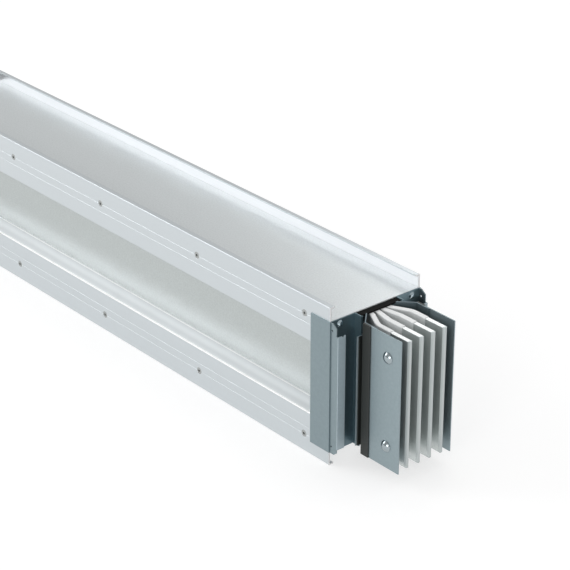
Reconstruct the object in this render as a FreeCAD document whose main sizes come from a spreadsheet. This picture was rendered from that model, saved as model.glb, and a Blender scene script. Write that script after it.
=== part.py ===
import FreeCAD, Part
import os
import re
import Sketcher

V = FreeCAD.Vector

# A straight section of sandwich busway: two aluminium side profiles and two folded covers hold a pack
# of four insulated bars, which fan out at both ends into tabs for the joint.
# X runs along the section, Y across it from the near side to the far side, and Z is up from the floor.
SIZES = {
    # aluminium case
    "case_length": 1000,
    "case_width": 155,
    "case_height": 230,
    "flange_wall": 2.2,
    "flange_depth": 62,
    "lip_width": 7.5,
    "lip_thickness": 2,
    "ledge_thickness": 2.5,
    "recess_depth": 34,
    "web_thickness": 3,
    "pack_wall": 3,
    "case_edge_round": 1.2,
    "groove_width": 1.2,
    "groove_depth": 0.5,
    "groove_from_edge": 26,
    "groove_spacing": 12,
    "ledge_groove_from_web": 4,
    # folded covers
    "trough_depth": 19,
    "cover_thickness": 1.5,
    "cover_flange": 13.5,
    "cover_tab_width": 14,
    "cover_tab_drop": 12,
    "insulator_thickness": 1.8,
    "insulator_half_width": 33,
    "insulator_overhang": 10,
    # screws of the case
    "screw_margin": 50,
    "screw_hole": 5.2,
    "screw_shank": 5,
    "screw_head": 10,
    "screw_head_height": 2.2,
    "screw_length": 9,
    "end_screw_from_face": 15,
    "end_screw_from_edge": 26,
    "end_screw_head": 8,
    "end_screw_head_height": 2.6,
    "end_screw_nut": 7,
    "end_screw_nut_height": 3,
    # conductor pack
    "bar_thickness": 6,
    "bar_edge_break": 0.9,
    "wrap_thickness": 0.6,
    "wrap_clearance": 0.05,
    "pack_clearance": 0.5,
    "pack_side_gap": 1.3,
    "pack_pitch": 9.7,
    "fan_pitch": 20,
    "fan_start": 9,
    "fan_end": 38,
    "bar_bend_radius": 22,
    "bar_reach": 99,
    "wrap_reach": 64,
    "bevel_length": 3,
    "tip_thickness": 3.2,
    # earth sheets and plates
    "sheet_thickness": 1.5,
    "sheet_gap": 0.3,
    "sheet_tongue": 30,
    "sheet_reach": 53,
    "sheet_from_edge": 19.5,
    "plate_gap": 12,
    "plate_start": 43,
    "stud_reach": 75,
    "stud_from_edge": 31.5,
    "stud_hole": 8.2,
    "stud_shank": 8,
    "stud_head": 16.5,
    "stud_head_height": 4.6,
    "stud_tail": 13,
    "stud_tail_height": 2,
    # black edge strips
    "strip_thickness": 3,
    "strip_width": 14.2,
    "strip_wall": 1.5,
    "strip_gap": 0.3,
    "strip_foot": 7.6,
    # galvanised end sheets
    "end_sheet": 1.5,
    "end_reach": 16,
    "web_gap": 3.5,
    "end_lip": 12.6,
    "end_lip_low": 9.5,
    "end_lip_high": 16,
    "inner_lip": 9.7,
    "inner_lip_low": 4.8,
    "inner_lip_high": 26,
    "lug_width": 2,
    "lug_setback": 2.5,
    "lug_gap": 0.8,
    "overlay_length": 36,
    "overlay_from_edge": 20,
    "flange_hole": 3,
    "flange_hole_reach": 4.4,
    "flange_hole_from_edge": 30.5,
    "corner_cut_length": 5,
    "corner_cut_height": 4,
    "access_cut_reach": 5,
    "access_cut_height": 5.5,
    "access_cut_setback": 3.5,
    "relief_radius": 1.8,
    "relief_from_edge": 4,
}

BAR_COUNT = 4
SCREWS_IN_ROW = 5

# The cross-section's levels and the joint end's reference lines, worked out from the sizes above.
DERIVED = {
    "mid_height": "case_height / 2",
    "screw_pitch": f"(case_length - 2 * screw_margin) / ({SCREWS_IN_ROW} - 1)",
    "cover_top": "case_height - trough_depth",
    "cover_under": "cover_top - cover_thickness",
    "pack_top": "cover_under - insulator_thickness",
    "pack_bottom": "case_height - pack_top",
    "bar_height": "pack_top - pack_bottom - 2 * wrap_thickness - 2 * pack_clearance",
    "pack_half_width": f"({BAR_COUNT} - 1) / 2 * pack_pitch + bar_thickness / 2 + wrap_thickness",
    "throat": "case_width / 2 - pack_half_width - pack_side_gap",
    "flare_line": "throat - sheet_thickness + insulator_overhang / 2",
    "recess_low": "flange_depth",
    "recess_high": "case_height - flange_depth",
    "plate_inner": f"case_width / 2 - ({BAR_COUNT} - 1) / 2 * fan_pitch - bar_thickness / 2 - plate_gap",
    "sheet_height": "case_height - 2 * sheet_from_edge",
    "web_end": "flare_line - end_reach - web_gap",
}


def alias_words(expression):
    """Put the sheet's name before each alias of a bound expression."""
    return re.sub(r"[a-z][a-z_]+", lambda found: "Sizes." + found[0] if found[0] in ALIASES else found[0],
                  expression)


ALIASES = set(SIZES) | set(DERIVED)
doc = FreeCAD.newDocument("busway_section")
sheet = doc.addObject("Spreadsheet::Sheet", "Sizes")
row = 0
for alias, size in SIZES.items():
    row += 1
    sheet.set("A%d" % row, alias)
    sheet.set("B%d" % row, str(size))
    sheet.setAlias("B%d" % row, alias)
for alias, formula in DERIVED.items():
    row += 1
    sheet.set("A%d" % row, alias)
    sheet.set("B%d" % row, "=" + formula)
    sheet.setAlias("B%d" % row, alias)
doc.recompute()


def value(expression):
    """The number that an expression of aliases has now."""
    number = sheet.evalExpression(alias_words(expression))
    return float(getattr(number, "Value", number))


def bind(target, path, expression):
    target.setExpression(path, alias_words(expression))


def new_body(label, x="0", y="0", z="0"):
    body = doc.addObject("PartDesign::Body", label)
    body.Label = label
    for axis, expression in zip("xyz", (x, y, z)):
        bind(body, "Placement.Base." + axis, expression)
    return body


def corner_body(label):
    """A body whose own origin is the near lower corner of the case's right end."""
    return new_body(label, "case_length / 2", "-case_width / 2")


def new_sketch(body, role, name, offset="0"):
    plane = [feature for feature in body.Origin.OriginFeatures if feature.Role == role][0]
    sketch = body.newObject("Sketcher::SketchObject", name)
    sketch.AttachmentSupport = [(plane, "")]
    sketch.MapMode = "FlatFace"
    bind(sketch, "AttachmentOffset.Base.z", offset)
    return sketch


def add_outline(sketch, corners):
    """Close straight edges through corners, each a pair of expressions."""
    first = sketch.GeometryCount
    spots = [V(value(x), value(y), 0) for x, y in corners]
    edges = [Part.LineSegment(spots[i], spots[(i + 1) % len(spots)]) for i in range(len(spots))]
    sketch.addGeometry(edges, False)
    for i, (x, y) in enumerate(corners):
        after = (i + 1) % len(corners)
        sketch.addConstraint(Sketcher.Constraint("Coincident", first + i, 2, first + after, 1))
    for i, (x, y) in enumerate(corners):
        for kind, expression, number in (("DistanceX", x, spots[i].x), ("DistanceY", y, spots[i].y)):
            index = sketch.addConstraint(Sketcher.Constraint(kind, -1, 1, first + i, 1, number))
            bind(sketch, "Constraints[%d]" % index, expression)


def add_circle(sketch, x, y, radius):
    geometry = sketch.addGeometry(Part.Circle(V(value(x), value(y), 0), V(0, 0, 1), value(radius)), False)
    for kind, expression in (("DistanceX", x), ("DistanceY", y)):
        index = sketch.addConstraint(Sketcher.Constraint(kind, -1, 1, geometry, 3, value(expression)))
        bind(sketch, "Constraints[%d]" % index, expression)
    index = sketch.addConstraint(Sketcher.Constraint("Radius", geometry, value(radius)))
    bind(sketch, "Constraints[%d]" % index, radius)


def rectangle(low_x, high_x, low_y, high_y):
    return [(low_x, low_y), (high_x, low_y), (high_x, high_y), (low_x, high_y)]


def pad(body, sketch, length, name, symmetric=False):
    feature = body.newObject("PartDesign::Pad", name)
    feature.Profile = sketch
    feature.SideType = "Symmetric" if symmetric else "One side"
    bind(feature, "Length", length)
    return feature


def pocket(body, sketch, length, name):
    """Cut to both sides of the sketch, half the length each way."""
    feature = body.newObject("PartDesign::Pocket", name)
    feature.Profile = sketch
    feature.SideType = "Symmetric"
    bind(feature, "Length", length)
    return feature


def round_uprights(body, base, corners, radius, name):
    """Fillet the upright edges that stand at the given corners of a plan."""
    doc.recompute()
    spots = [(value(x), value(y)) for x, y in corners]
    edges = []
    for number, edge in enumerate(base.Shape.Edges, 1):
        ends = [vertex.Point for vertex in edge.Vertexes]
        upright = len(ends) == 2 and abs(ends[0].z - ends[1].z) > 1 and ends[0].distanceToPoint(
            V(ends[1].x, ends[1].y, ends[0].z)) < 0.001
        if upright and any(abs(ends[0].x - x) < 0.01 and abs(ends[0].y - y) < 0.01 for x, y in spots):
            edges.append("Edge%d" % number)
    return dress(body, base, edges, "Fillet", "Radius", radius, name)


def dress(body, base, edges, kind, path, size, name):
    """Fillet or chamfer a body's named edges."""
    feature = body.newObject("PartDesign::" + kind, name)
    feature.Base = (base, edges)
    bind(feature, path, size)
    return feature


def long_edges(base, spots):
    """Names of the edges along X that cross the middle plane at the given pairs of y and z."""
    doc.recompute()
    marks = [(value(y), value(z)) for y, z in spots]
    edges = []
    for number, edge in enumerate(base.Shape.Edges, 1):
        middle = edge.CenterOfMass
        if abs(middle.x) < 1 and edge.BoundBox.XLength > 100 and any(
                abs(middle.y - y) < 0.01 and abs(middle.z - z) < 0.01 for y, z in marks):
            edges.append("Edge%d" % number)
    return edges


def mirrored(source, label, normal, base_z="0"):
    """The same piece on the other side of a middle plane."""
    piece = doc.addObject("Part::Mirroring", label)
    piece.Label = label
    piece.Source = source
    piece.Normal = normal
    bind(piece, "Base.z", base_z)
    return piece


ACROSS = V(0, 1, 0)
ALONG = V(1, 0, 0)
UPRIGHT = V(0, 0, 1)


SCREW_PLACES = [f"case_length / 2 - screw_margin - {i} * screw_pitch" for i in range(SCREWS_IN_ROW)]
SCREW_LEVELS = ["groove_from_edge", "case_height - groove_from_edge"]
STUD_LEVELS = ["sheet_from_edge + stud_from_edge", "case_height - sheet_from_edge - stud_from_edge"]
FLANGE_HOLE_LEVELS = ["flange_hole_from_edge", "case_height - flange_hole_from_edge"]


def v_groove(level, rising):
    """Three corners of a scribed groove in the outer face, listed in the outline's direction."""
    ends = [("0", level + " - groove_width / 2"), ("groove_depth", level), ("0", level + " + groove_width / 2")]
    return ends if rising else ends[::-1]


def side_profile(label):
    body = new_body(label, "0", "-case_width / 2")
    section = new_sketch(body, "YZ_Plane", label + "_section")
    outer = [("0", "0"), ("lip_width", "0"), ("lip_width", "lip_thickness"), ("flange_wall", "lip_thickness"),
             ("flange_wall", "recess_low - ledge_thickness"),
             ("throat - sheet_thickness - pack_wall", "recess_low - ledge_thickness"),
             ("throat - sheet_thickness - pack_wall", "pack_bottom"),
             ("throat - sheet_thickness", "pack_bottom"), ("throat - sheet_thickness", "pack_top"),
             ("throat - sheet_thickness - pack_wall", "pack_top"),
             ("throat - sheet_thickness - pack_wall", "recess_high + ledge_thickness"),
             ("flange_wall", "recess_high + ledge_thickness"),
             ("flange_wall", "case_height - lip_thickness"), ("lip_width", "case_height - lip_thickness"),
             ("lip_width", "case_height"), ("0", "case_height")]
    outer += v_groove("case_height - groove_from_edge", False)
    outer += v_groove("case_height - groove_from_edge - groove_spacing", False)
    outer += [("0", "recess_high"), ("recess_depth", "recess_high"), ("recess_depth", "recess_low")]
    outer += [("0", "recess_low")]
    outer += v_groove("groove_from_edge + groove_spacing", False)
    outer += v_groove("groove_from_edge", False)
    add_outline(section, outer)
    add_outline(section, rectangle("recess_depth + web_thickness", "throat - sheet_thickness - pack_wall",
                                   "recess_low", "recess_high"))
    profile = pad(body, section, "case_length", label + "_extrusion", True)
    dress(body, profile, long_edges(profile, [("0", "0"), ("0", "case_height")]), "Fillet", "Radius",
          "case_edge_round", label + "_outer_edges")
    ledge = new_sketch(body, "YZ_Plane", label + "_ledge_grooves")
    for level, inward in (("recess_low", "-"), ("recess_high", "+")):
        centre = "recess_depth - ledge_groove_from_web"
        add_outline(ledge, [(centre + " - groove_width / 2", level),
                            (centre, level + " %s groove_depth" % inward),
                            (centre + " + groove_width / 2", level)])
    pocket(body, ledge, "case_length + 2", label + "_ledge_cut")
    doc.recompute()
    centres = new_sketch(body, "XZ_Plane", label + "_screw_centres")
    for x in SCREW_PLACES:
        for level in SCREW_LEVELS:
            add_circle(centres, x, level, "screw_hole / 2")
    doc.recompute()
    holes = body.newObject("PartDesign::Hole", label + "_screw_holes")
    holes.Profile = centres
    holes.Threaded = False
    holes.HoleCutType = "Countersink"
    holes.HoleCutCustomValues = True
    holes.DepthType = "Dimension"
    bind(holes, "Diameter", "screw_hole")
    bind(holes, "HoleCutDiameter", "screw_head + sheet_gap")
    holes.HoleCutCountersinkAngle = 90
    bind(holes, "Depth", "flange_wall + lip_width")
    return body


def cover(label):
    """The top cover: a folded channel, screwed through its flanges, with two tabs down at each end."""
    body = new_body(label)
    half = "case_width / 2 - flange_wall"
    section = new_sketch(body, "YZ_Plane", label + "_section")
    low = "cover_top - cover_flange"
    add_outline(section, [("-(%s)" % half, low), ("-(%s) + cover_thickness" % half, low),
                          ("-(%s) + cover_thickness" % half, "cover_under"),
                          (half + " - cover_thickness", "cover_under"), (half + " - cover_thickness", low),
                          (half, low), (half, "cover_top"), ("-(%s)" % half, "cover_top")])
    plate = pad(body, section, "case_length", label + "_channel", True)
    tabs = new_sketch(body, "YZ_Plane", label + "_tabs", "case_length / 2 - cover_thickness")
    for side in ("-", ""):
        centre = "%s(case_width / 2 - end_screw_from_face)" % side
        add_outline(tabs, rectangle(centre + " - cover_tab_width / 2", centre + " + cover_tab_width / 2",
                                    "cover_under - cover_tab_drop", "cover_under"))
        add_circle(tabs, centre, "case_height - end_screw_from_edge", "screw_hole / 2")
    tab_pad = pad(body, tabs, "cover_thickness", label + "_end_tabs")
    doc.recompute()
    other_end = body.newObject("PartDesign::Mirrored", label + "_other_end")
    other_end.Originals = [tab_pad]
    plane = [feature for feature in body.Origin.OriginFeatures if feature.Role == "YZ_Plane"][0]
    other_end.MirrorPlane = (plane, [""])
    body.Tip = other_end
    doc.recompute()
    holes = new_sketch(body, "XZ_Plane", label + "_screw_centres")
    for x in SCREW_PLACES:
        add_circle(holes, x, "case_height - groove_from_edge", "screw_hole / 2")
    pocket(body, holes, "case_width", label + "_screw_holes")
    return body


def insulator(label):
    """The black sheet between the cover and the pack, which sticks out over the bars at both ends."""
    body = new_body(label)
    plan = new_sketch(body, "XY_Plane", label + "_plan", "pack_top")
    reach = "case_length / 2 + insulator_overhang"
    add_outline(plan, rectangle("-(%s)" % reach, reach, "-insulator_half_width", "insulator_half_width"))
    pad(body, plan, "insulator_thickness", label + "_sheet")
    return body


def bar_run(label, index, half, reach, low, height, tapered):
    """An upright strip that runs straight in the pack and steps out to its tab at both ends."""
    place = index - (BAR_COUNT - 1) / 2
    packed = "%g * pack_pitch" % place
    fanned = "%g * fan_pitch" % place
    mitre = "(%s) * tan(atan(%g * (fan_pitch - pack_pitch) / (fan_end - fan_start)) / 2)" % (half, place)
    start, stop = "case_length / 2 + fan_start", "case_length / 2 + fan_end"
    tip = "case_length / 2 + " + reach
    right_side = [(start + " + " + mitre, "%s - (%s)" % (packed, half)),
                  (stop + " + " + mitre, "%s - (%s)" % (fanned, half))]
    if tapered:
        right_tip = [(tip + " - bevel_length", "%s - (%s)" % (fanned, half)),
                     (tip, fanned + " - tip_thickness / 2"), (tip, fanned + " + tip_thickness / 2"),
                     (tip + " - bevel_length", "%s + (%s)" % (fanned, half))]
    else:
        right_tip = [(tip, "%s - (%s)" % (fanned, half)), (tip, "%s + (%s)" % (fanned, half))]
    left_side = [(stop + " - " + mitre, "%s + (%s)" % (fanned, half)),
                 (start + " - " + mitre, "%s + (%s)" % (packed, half))]
    right_end = right_side + right_tip + left_side
    left_end = [("-(%s)" % x, y) for x, y in right_end[::-1]]
    body = new_body(label)
    plan = new_sketch(body, "XY_Plane", label + "_plan", low)
    add_outline(plan, right_end + left_end)
    strip = pad(body, plan, height, label + "_strip")
    near_pack, near_fan = right_side
    far_fan, far_pack = left_side
    inner, outer = ([near_pack, far_fan], [near_fan, far_pack])
    if place > 0:
        inner, outer = outer, inner
    both_ends = [[(x, y) for x, y in group] + [("-(%s)" % x, y) for x, y in group] for group in (inner, outer)]
    small = round_uprights(body, strip, both_ends[0], "bar_bend_radius - (%s)" % half, label + "_inner_bends")
    large = round_uprights(body, small, both_ends[1], "bar_bend_radius + (%s)" % half, label + "_outer_bends")
    corners = [("%s %s (%s)" % (packed, side, half), level) for side in "-+"
               for level in (low, "%s + %s" % (low, height))]
    dress(body, large, long_edges(large, corners), "Chamfer", "Size", "bar_edge_break", label + "_long_edges")
    return body


def busbar(index):
    return bar_run("busbar_%d" % (index + 1), index, "bar_thickness / 2", "bar_reach",
                   "mid_height - bar_height / 2", "bar_height", True)


def bar_wrap(index):
    name = "bar_wrap_%d" % (index + 1)
    sleeve = bar_run(name + "_outside", index, "bar_thickness / 2 + wrap_thickness", "wrap_reach",
                     "mid_height - bar_height / 2 - wrap_thickness", "bar_height + 2 * wrap_thickness", False)
    bore = bar_run(name + "_bore", index, "bar_thickness / 2 + wrap_clearance", "bar_reach",
                   "mid_height - bar_height / 2 - wrap_clearance", "bar_height + 2 * wrap_clearance", False)
    wrap = doc.addObject("Part::Cut", name)
    wrap.Label = name
    wrap.Base = sleeve
    wrap.Tool = bore
    return wrap


def earth_sheet(label):
    """The thin sheet beside the pack that flares out at 45 degrees and runs on inside the earth plate."""
    body = corner_body(label)
    plan = new_sketch(body, "XY_Plane", label + "_plan", "sheet_from_edge")
    outer, inner = "throat - sheet_thickness", "throat"
    start = "flare_line - (%s)" % outer
    shift = "sheet_thickness * tan(22.5)"
    run = "(%s) - plate_inner" % outer
    corners = [("-sheet_tongue", outer), (start, outer), ("%s + %s" % (start, run), "plate_inner"),
               ("sheet_reach", "plate_inner"), ("sheet_reach", "plate_inner + sheet_thickness"),
               ("%s + %s + %s" % (start, run, shift), "plate_inner + sheet_thickness"),
               ("%s + %s" % (start, shift), inner), ("-sheet_tongue", inner)]
    add_outline(plan, corners)
    strip = pad(body, plan, "sheet_height", label + "_strip")
    doc.recompute()
    notch = new_sketch(body, "XZ_Plane", label + "_notches")
    clear = "insulator_overhang + 1"
    add_outline(notch, rectangle("-sheet_tongue - 1", clear, "sheet_from_edge - 1", "pack_bottom + sheet_gap"))
    add_outline(notch, rectangle("-sheet_tongue - 1", clear, "pack_top - sheet_gap", "case_height - sheet_from_edge + 1"))
    pocket(body, notch, "2 * case_width", label + "_throat_notches")
    return body


def earth_plate(label):
    body = corner_body(label)
    face = new_sketch(body, "XZ_Plane", label + "_face", "-plate_inner")
    add_outline(face, rectangle("plate_start", "bar_reach", "sheet_from_edge", "case_height - sheet_from_edge"))
    for level in STUD_LEVELS:
        add_circle(face, "stud_reach", level, "stud_hole / 2")
    pad(body, face, "sheet_thickness", label + "_plate")
    return body


def edge_strip(label):
    """The black moulding that shields the plate's edge, the flare and the inner lip of the end sheet."""
    body = corner_body(label)
    upright = new_sketch(body, "XY_Plane", label + "_upright", "sheet_from_edge")
    front = "plate_inner - strip_thickness"
    add_outline(upright, rectangle("plate_start - strip_width", "plate_start", front, "plate_inner"))
    pad(body, upright, "sheet_height", label + "_strip")
    leg = new_sketch(body, "XY_Plane", label + "_leg", "sheet_from_edge + inner_lip_low")
    outer_line = "flare_line - strip_gap * sqrt(2)"
    inner_line = "flare_line - (strip_gap + strip_wall) * sqrt(2)"
    face = "end_reach"
    add_outline(leg, [(face, "web_end - strip_foot"), (face + " + strip_wall", "web_end - strip_foot"),
                      (face + " + strip_wall", "%s - %s - strip_wall" % (inner_line, face)),
                      ("%s - plate_inner + strip_wall" % inner_line, "plate_inner - strip_wall"),
                      ("plate_start - strip_width", "plate_inner - strip_wall"),
                      ("plate_start - strip_width", "plate_inner"),
                      ("%s - plate_inner" % outer_line, "plate_inner"),
                      (face + " + strip_wall", "%s - %s - strip_wall" % (outer_line, face)),
                      (face, "web_end")])
    pad(body, leg, "sheet_height - inner_lip_low - inner_lip_high", label + "_shield")
    return body


def end_sheet(label):
    """The folded sheet that closes the case's end beside the pack: web, flange, lip and a small lug."""
    body = corner_body(label)
    web = new_sketch(body, "XY_Plane", label + "_web_plan", "sheet_from_edge")
    add_outline(web, [("0", "end_sheet"), ("end_sheet", "end_sheet"), ("end_sheet", "web_end - end_sheet"),
                      ("end_reach - lug_setback", "web_end - end_sheet"),
                      ("end_reach - lug_setback", "web_end"), ("0", "web_end")])
    pad(body, web, "sheet_height", label + "_web")
    lip = new_sketch(body, "XY_Plane", label + "_lip_plan", "sheet_from_edge + inner_lip_low")
    add_outline(lip, [("end_reach - lug_setback - end_sheet", "web_end - end_sheet"),
                      ("end_reach - end_sheet", "web_end - end_sheet"),
                      ("end_reach - end_sheet", "web_end - inner_lip"), ("end_reach", "web_end - inner_lip"),
                      ("end_reach", "web_end"), ("end_reach - lug_setback - end_sheet", "web_end")])
    pad(body, lip, "sheet_height - inner_lip_low - inner_lip_high", label + "_lip")
    lug = new_sketch(body, "XY_Plane", label + "_lug_plan",
                     "sheet_from_edge + sheet_height - inner_lip_high + lug_gap")
    add_outline(lug, rectangle("end_reach - lug_setback - end_sheet", "end_reach - lug_setback",
                               "web_end", "web_end + lug_width"))
    pad(body, lug, "inner_lip_high - 2 * lug_gap", label + "_lug")
    doc.recompute()
    holes = new_sketch(body, "YZ_Plane", label + "_screw_centres")
    for level in ("end_screw_from_edge", "case_height - end_screw_from_edge"):
        add_circle(holes, "end_screw_from_face", level, "screw_hole / 2")
    pocket(body, holes, "4 * end_sheet", label + "_screw_holes")
    return body


def joint_flange(label):
    """The folded sheet outside the case's end: an overlay, a step in, a flange and a turned lip."""
    body = corner_body(label)
    plan = new_sketch(body, "XY_Plane", label + "_plan", "overlay_from_edge")
    add_outline(plan, [("-overlay_length", "-end_sheet"), ("end_sheet", "-end_sheet"), ("end_sheet", "0"),
                       ("end_reach", "0"), ("end_reach", "end_lip"), ("end_reach - end_sheet", "end_lip"),
                       ("end_reach - end_sheet", "end_sheet"), ("0", "end_sheet"), ("0", "0"),
                       ("-overlay_length", "0")])
    pad(body, plan, "case_height - 2 * overlay_from_edge", label + "_sheet")
    doc.recompute()
    low, high = "overlay_from_edge", "case_height - overlay_from_edge"
    side = new_sketch(body, "XZ_Plane", label + "_side")
    fold = "end_reach - end_sheet"
    past = "end_reach + 1"
    add_outline(side, [("%s - corner_cut_length" % fold, low), (fold, low + " + corner_cut_height"),
                       (fold, low + " + end_lip_low"), (past, low + " + end_lip_low"), (past, low + " - 1"),
                       ("%s - corner_cut_length" % fold, low + " - 1")])
    add_outline(side, [("access_cut_reach", high), ("end_reach - access_cut_setback", high + " - access_cut_height"),
                       ("end_reach - access_cut_setback", high + " - end_lip_high"),
                       (past, high + " - end_lip_high"), (past, high + " + 1"), ("access_cut_reach", high + " + 1")])
    for level in FLANGE_HOLE_LEVELS:
        add_circle(side, "flange_hole_reach", level, "flange_hole / 2")
    pocket(body, side, "4 * end_lip", label + "_side_cuts")
    doc.recompute()
    relief = new_sketch(body, "YZ_Plane", label + "_relief", "end_reach")
    add_circle(relief, "end_lip - relief_from_edge", high + " - end_lip_high", "relief_radius")
    pocket(body, relief, "4 * end_sheet", label + "_relief_cut")
    return body


def turned(profile):
    """Revolve a closed half section, given in the XY plane, about the X axis."""
    return Part.Face(Part.Wire(profile)).revolve(V(0, 0, 0), V(1, 0, 0), 360)


def straight_edges(*corners):
    spots = [V(x, y, 0) for x, y in corners]
    return [Part.LineSegment(spots[i], spots[i + 1]).toShape() for i in range(len(spots) - 1)]


def domed_screw(head_radius, head_height, shank_radius, length, tail_radius, tail_height):
    """A screw or stud along +X with its head's seat at the origin and, past its length, a flat tail.

    The head's dome is two tapers and a flat crown.
    """
    end = length + tail_height
    return turned(straight_edges((-head_height, 0), (-head_height, 0.4 * head_radius),
                                 (-0.65 * head_height, 0.8 * head_radius), (0, head_radius),
                                 (0, shank_radius), (length, shank_radius), (length, tail_radius),
                                 (end, tail_radius), (end, 0), (-head_height, 0)))


def countersunk_screw(head_radius, head_height, shank_radius, length):
    """A flat headed screw along +X with its head's face at the origin."""
    return turned(straight_edges((0, 0), (0, head_radius), (head_height, shank_radius),
                                 (length, shank_radius), (length, 0), (0, 0)))


def placed(shape, spot, direction):
    copy = shape.copy()
    copy.Placement = FreeCAD.Placement(spot, FreeCAD.Rotation(V(1, 0, 0), direction))
    return copy


def fastener_group(label, shapes):
    group = doc.addObject("Part::Feature", label)
    group.Label = label
    group.Shape = Part.makeCompound(shapes)
    group.Placement = FreeCAD.Placement()
    return group


def case_screws(label):
    """Two rows of countersunk screws, with their heads flush in the near face."""
    screw = countersunk_screw(value("screw_head / 2"), value("screw_head_height"), value("screw_shank / 2"),
                              value("screw_length"))
    spots = [V(value(x), value("-case_width / 2"), value(level)) for x in SCREW_PLACES
             for level in SCREW_LEVELS]
    return fastener_group(label, [placed(screw, spot, V(0, 1, 0)) for spot in spots])


def end_screws(label):
    """Four pan head screws through the end sheets into the covers' tabs."""
    screw = domed_screw(value("end_screw_head / 2"), value("end_screw_head_height"), value("screw_shank / 2"),
                        value("end_sheet + cover_thickness"), value("end_screw_nut / 2"),
                        value("end_screw_nut_height"))
    face = value("case_length / 2 + end_sheet")
    aside = value("case_width / 2 - end_screw_from_face")
    levels = [value("end_screw_from_edge"), value("case_height - end_screw_from_edge")]
    return fastener_group(label, [placed(screw, V(face, side * aside, level), V(-1, 0, 0))
                                  for side in (-1, 1) for level in levels])


def plate_studs(label):
    """Two dome headed studs through the near earth plate, with a flat tail behind it."""
    stud = domed_screw(value("stud_head / 2"), value("stud_head_height"), value("stud_shank / 2"),
                       value("sheet_thickness"), value("stud_tail / 2"), value("stud_tail_height"))
    reach = value("case_length / 2 + stud_reach")
    front = value("plate_inner - sheet_thickness - case_width / 2")
    return fastener_group(label, [placed(stud, V(reach, front, value(level)), V(0, 1, 0))
                                  for level in STUD_LEVELS])


pieces = []


def on_both_sides(make, name):
    near = make(name + "_near")
    pieces.extend([near, mirrored(near, name + "_far", ACROSS)])


def on_four_corners(make, name):
    near = make(name + "_near_right")
    far = mirrored(near, name + "_far_right", ACROSS)
    pieces.extend([near, far, mirrored(near, name + "_near_left", ALONG), mirrored(far, name + "_far_left", ALONG)])


on_both_sides(side_profile, "side_profile")
top = cover("top_cover")
pieces.extend([top, mirrored(top, "bottom_cover", UPRIGHT, "mid_height")])
upper = insulator("top_insulator")
pieces.extend([upper, mirrored(upper, "bottom_insulator", UPRIGHT, "mid_height")])
for number in range(BAR_COUNT):
    pieces.append(busbar(number))
    pieces.append(bar_wrap(number))
on_four_corners(earth_sheet, "earth_sheet")
on_four_corners(earth_plate, "earth_plate")
on_four_corners(edge_strip, "edge_strip")
on_four_corners(end_sheet, "end_sheet")
on_four_corners(joint_flange, "joint_flange")
on_four_corners(plate_studs, "plate_studs")
on_both_sides(case_screws, "case_screws")
right_screws = end_screws("end_screws_right")
pieces.extend([right_screws, mirrored(right_screws, "end_screws_left", ALONG)])
doc.recompute()

for thing in doc.Objects:
    if {"Invalid", "Error"} & set(thing.State):
        raise RuntimeError("%s failed: %s" % (thing.Label, thing.State))
for piece in pieces:
    if piece.Shape.isNull() or not piece.Shape.isValid():
        raise RuntimeError("%s has no valid shape" % piece.Label)

os.makedirs("parts", exist_ok=True)
for piece in pieces:
    piece.Shape.exportStep("parts/%s.step" % piece.Label)
    print("%-28s %2d solids %12.1f mm3" % (piece.Label, len(piece.Shape.Solids), piece.Shape.Volume))
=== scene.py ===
import math

import bmesh
import bpy
from bpy.props import FloatProperty, FloatVectorProperty, IntProperty, PointerProperty
from mathutils import Euler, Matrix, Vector


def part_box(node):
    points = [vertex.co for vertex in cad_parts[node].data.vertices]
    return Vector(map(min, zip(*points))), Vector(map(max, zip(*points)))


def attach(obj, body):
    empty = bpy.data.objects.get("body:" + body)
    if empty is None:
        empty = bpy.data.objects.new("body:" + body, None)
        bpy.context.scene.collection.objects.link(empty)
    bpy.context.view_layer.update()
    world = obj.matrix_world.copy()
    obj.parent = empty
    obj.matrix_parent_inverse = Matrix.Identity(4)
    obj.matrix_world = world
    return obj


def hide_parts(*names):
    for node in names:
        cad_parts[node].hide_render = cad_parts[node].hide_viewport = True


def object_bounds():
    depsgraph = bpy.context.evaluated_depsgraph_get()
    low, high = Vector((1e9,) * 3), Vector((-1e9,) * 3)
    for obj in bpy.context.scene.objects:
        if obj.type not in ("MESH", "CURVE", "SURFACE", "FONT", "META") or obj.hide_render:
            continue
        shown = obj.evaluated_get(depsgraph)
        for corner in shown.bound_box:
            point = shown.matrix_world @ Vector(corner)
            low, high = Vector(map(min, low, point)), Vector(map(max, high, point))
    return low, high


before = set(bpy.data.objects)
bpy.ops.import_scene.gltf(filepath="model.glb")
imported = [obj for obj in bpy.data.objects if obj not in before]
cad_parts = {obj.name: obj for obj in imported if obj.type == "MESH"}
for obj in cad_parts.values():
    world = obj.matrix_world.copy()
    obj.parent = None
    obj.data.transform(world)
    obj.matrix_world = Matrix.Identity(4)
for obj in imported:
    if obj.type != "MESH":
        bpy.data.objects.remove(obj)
CAD_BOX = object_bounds()

bl_info = {
    "name": "Busway section",
    "version": (1, 0, 0),
    "blender": (4, 5, 0),
    "location": "View3D > Sidebar > Busway",
    "description": "Finishes, fasteners and studio for a straight section of sandwich busway",
    "category": "Object",
}

MM = 0.001

# Where one finish, painted light or painted shade gives way to the next: places along the section, distances from
# its upright centre plane, and a height. FLANGE_SKIN lies within the side profiles' outer wall and SUNK_MIDDLE just
# past the recess's face.
PROFILE_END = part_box("side_profile_near")[1].x
SHEET_LIP = 515 * MM
FLANGE_SKIN = 76.4 * MM
LEDGE_RIDGE = 59 * MM
LEDGE_GROOVE = 47.5 * MM
SUNK_MIDDLE = 44.2 * MM
LEDGE_HEIGHT = 61.3 * MM

# How many faces go round a head; the domes are the largest and the glossiest.
HEAD_SEGMENTS = 48
DOME_SEGMENTS = 64

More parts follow.
